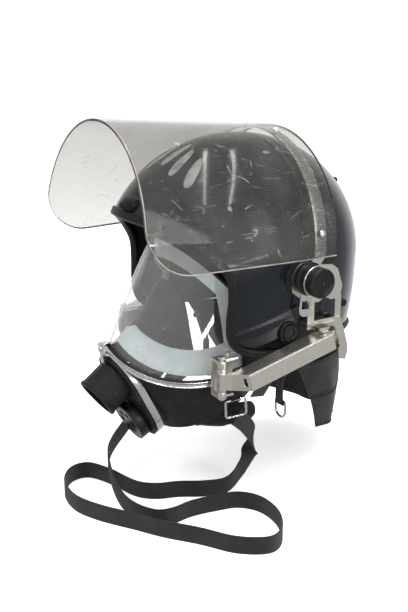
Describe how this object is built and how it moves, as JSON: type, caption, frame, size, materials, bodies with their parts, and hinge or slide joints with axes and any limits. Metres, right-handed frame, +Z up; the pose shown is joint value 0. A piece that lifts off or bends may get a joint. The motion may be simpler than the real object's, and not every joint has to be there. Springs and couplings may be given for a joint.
{
  "type": "helmet with full face respirator",
  "caption": "Riot and fire helmet with a raised clear visor, a full face respirator on two side rails, a neck curtain and a carrying strap.",
  "frame": {"origin": "on the visor pivot axis in the plane of symmetry, at the centre of the wearer's head", "axes": "+X wearer's left, -Y the face side, +Z up; the helmet is mirror symmetric about X = 0 apart from the carrying strap"},
  "size_m": [0.3618, 0.3778, 0.4152],
  "materials": {
    "shell_paint": "dark navy gloss paint",
    "black_rubber": "satin moulded rubber",
    "mask_rubber": "matte moulded rubber",
    "liner_foam": "moulded foam",
    "black_plastic": "satin",
    "webbing": "woven polyester webbing",
    "reflective": "retroreflective film",
    "curtain_leather": "worn black leather",
    "pad_fabric": "brushed fleece",
    "bright_steel": "polished",
    "nickel_steel": "nickel plated, pale warm",
    "clear_visor": "clear polycarbonate, lightly scratched",
    "clear_lens": "clear polycarbonate",
    "pale_silicone": "pale silicone with a soft sheen",
    "grey_rubber": "matte"
  },
  "bodies": {
    "helmet": {"helmet_shell": "shell_paint", "shell_edge_trim": "black_rubber", "impact_liner": "liner_foam", "headband": "black_plastic", "crown_straps": "webbing", "dial_housing": "black_plastic", "brow_beak": "black_plastic", "rear_hook": "black_plastic", "side_bosses": "black_rubber", "reflective_marks": "reflective", "neck_curtain": "curtain_leather", "curtain_piping": "curtain_leather", "chin_straps": "webbing", "chin_pad": "pad_fabric", "ring_tabs": "webbing", "pivot_bosses": "black_plastic", "pivot_studs": "bright_steel", "pivot_bracket_left": "nickel_steel", "pivot_bracket_right": "nickel_steel", "bracket_screws": "bright_steel", "strikers": "bright_steel"},
    "visor_hub": {"hub_carriers": "nickel_steel", "hub_drums": "black_rubber"},
    "visor": {"visor_sheet": "clear_visor", "visor_band": "nickel_steel", "visor_rivets": "bright_steel"},
    "knob_left": {"knob_left": "black_rubber"},
    "knob_right": {"knob_right": "black_rubber"},
    "band_dial": {"headband_dial": "black_plastic"},
    "d_ring_left": {"d_ring_left": "bright_steel"},
    "d_ring_right": {"d_ring_right": "bright_steel"},
    "mask": {"mask_lens": "clear_lens", "lens_gasket": "black_rubber", "clamp_band": "nickel_steel", "clamp_clip": "bright_steel", "mask_body": "mask_rubber", "face_seal": "pale_silicone", "oronasal_cup": "grey_rubber", "check_valves": "grey_rubber", "port_housing": "mask_rubber", "port_band": "nickel_steel", "air_nozzle": "mask_rubber", "exhale_seat": "black_plastic", "exhale_spring": "bright_steel", "exhale_cover": "mask_rubber", "mask_bracket_left": "nickel_steel", "mask_bracket_right": "nickel_steel", "rail_pins": "bright_steel", "strap_lugs": "black_rubber", "strap_buckles": "bright_steel", "carry_strap": "webbing"},
    "exhale_valve": {"exhale_disc": "grey_rubber"},
    "rail_left": {"rail_left": "nickel_steel", "rail_spring_left": "bright_steel"},
    "rail_right": {"rail_right": "nickel_steel", "rail_spring_right": "bright_steel"},
    "slider_left": {"slider_left": "nickel_steel"},
    "slider_right": {"slider_right": "nickel_steel"},
    "lever_left": {"release_lever_left": "nickel_steel"},
    "lever_right": {"release_lever_right": "nickel_steel"}
  },
  "joints": [
    {"name": "visor_hinge", "type": "hinge", "parent": "helmet", "child": "visor_hub", "pos_m": [0, 0, 0], "axis": [1, 0, 0], "range_deg": [0, 60]},
    {"name": "visor_lift", "type": "slide", "parent": "visor_hub", "child": "visor", "axis": [0, 0.0958, 0.9954], "range_m": [0, 0.027]},
    {"name": "knob_left_turn", "type": "hinge", "parent": "helmet", "child": "knob_left", "pos_m": [0.14, 0, 0], "axis": [1, 0, 0], "range_deg": [0, 90]},
    {"name": "knob_right_turn", "type": "hinge", "parent": "helmet", "child": "knob_right", "pos_m": [-0.14, 0, 0], "axis": [-1, 0, 0], "range_deg": [0, 90]},
    {"name": "headband_dial_turn", "type": "hinge", "parent": "helmet", "child": "band_dial", "pos_m": [0, 0.0894, 0.036], "axis": [0, 1, 0], "continuous": true},
    {"name": "d_ring_left_swing", "type": "hinge", "parent": "helmet", "child": "d_ring_left", "pos_m": [0.076, 0.006, -0.16], "axis": [1, 0, 0], "range_deg": [-35, 35]},
    {"name": "d_ring_right_swing", "type": "hinge", "parent": "helmet", "child": "d_ring_right", "pos_m": [-0.076, 0.006, -0.16], "axis": [1, 0, 0], "range_deg": [-35, 35]},
    {"name": "mask_slide", "type": "slide", "parent": "helmet", "child": "mask", "axis": [0, -0.9609, -0.2769], "range_m": [0, 0.008]},
    {"name": "exhale_lift", "type": "slide", "parent": "mask", "child": "exhale_valve", "axis": [0, -0.891, -0.454], "range_m": [0, 0.0015], "stiffness_N_per_m": 150, "deforming": ["exhale_spring"]},
    {"name": "rail_left_swing", "type": "hinge", "parent": "mask", "child": "rail_left", "pos_m": [0.1066, -0.096, -0.1], "axis": [0, 0, -1], "range_deg": [0, 45]},
    {"name": "slider_left_travel", "type": "slide", "parent": "rail_left", "child": "slider_left", "axis": [0, 0.9609, 0.2769], "range_m": [0, 0.008]},
    {"name": "lever_left_pull", "type": "hinge", "parent": "slider_left", "child": "lever_left", "pos_m": [0.13673, 0.03693, -0.06481], "axis": [-0.0269, -0.2743, 0.9613], "range_deg": [0, 20], "stiffness_Nm_per_rad": 0.3},
    {"name": "rail_right_swing", "type": "hinge", "parent": "mask", "child": "rail_right", "pos_m": [-0.1066, -0.096, -0.1], "axis": [0, 0, 1], "range_deg": [0, 45]},
    {"name": "slider_right_travel", "type": "slide", "parent": "rail_right", "child": "slider_right", "axis": [0, 0.9609, 0.2769], "range_m": [0, 0.008]},
    {"name": "lever_right_pull", "type": "hinge", "parent": "slider_right", "child": "lever_right", "pos_m": [-0.13673, 0.03693, -0.06481], "axis": [-0.0269, 0.2743, -0.9613], "range_deg": [0, 20], "stiffness_Nm_per_rad": 0.3}
  ],
  "couplings": [
    {"joint": "visor_lift", "follows": "visor_hinge", "m_per_rad": 0.02578},
    {"joint": "slider_left_travel", "follows": "mask_slide", "ratio": 1},
    {"joint": "slider_right_travel", "follows": "mask_slide", "ratio": 1}
  ]
}
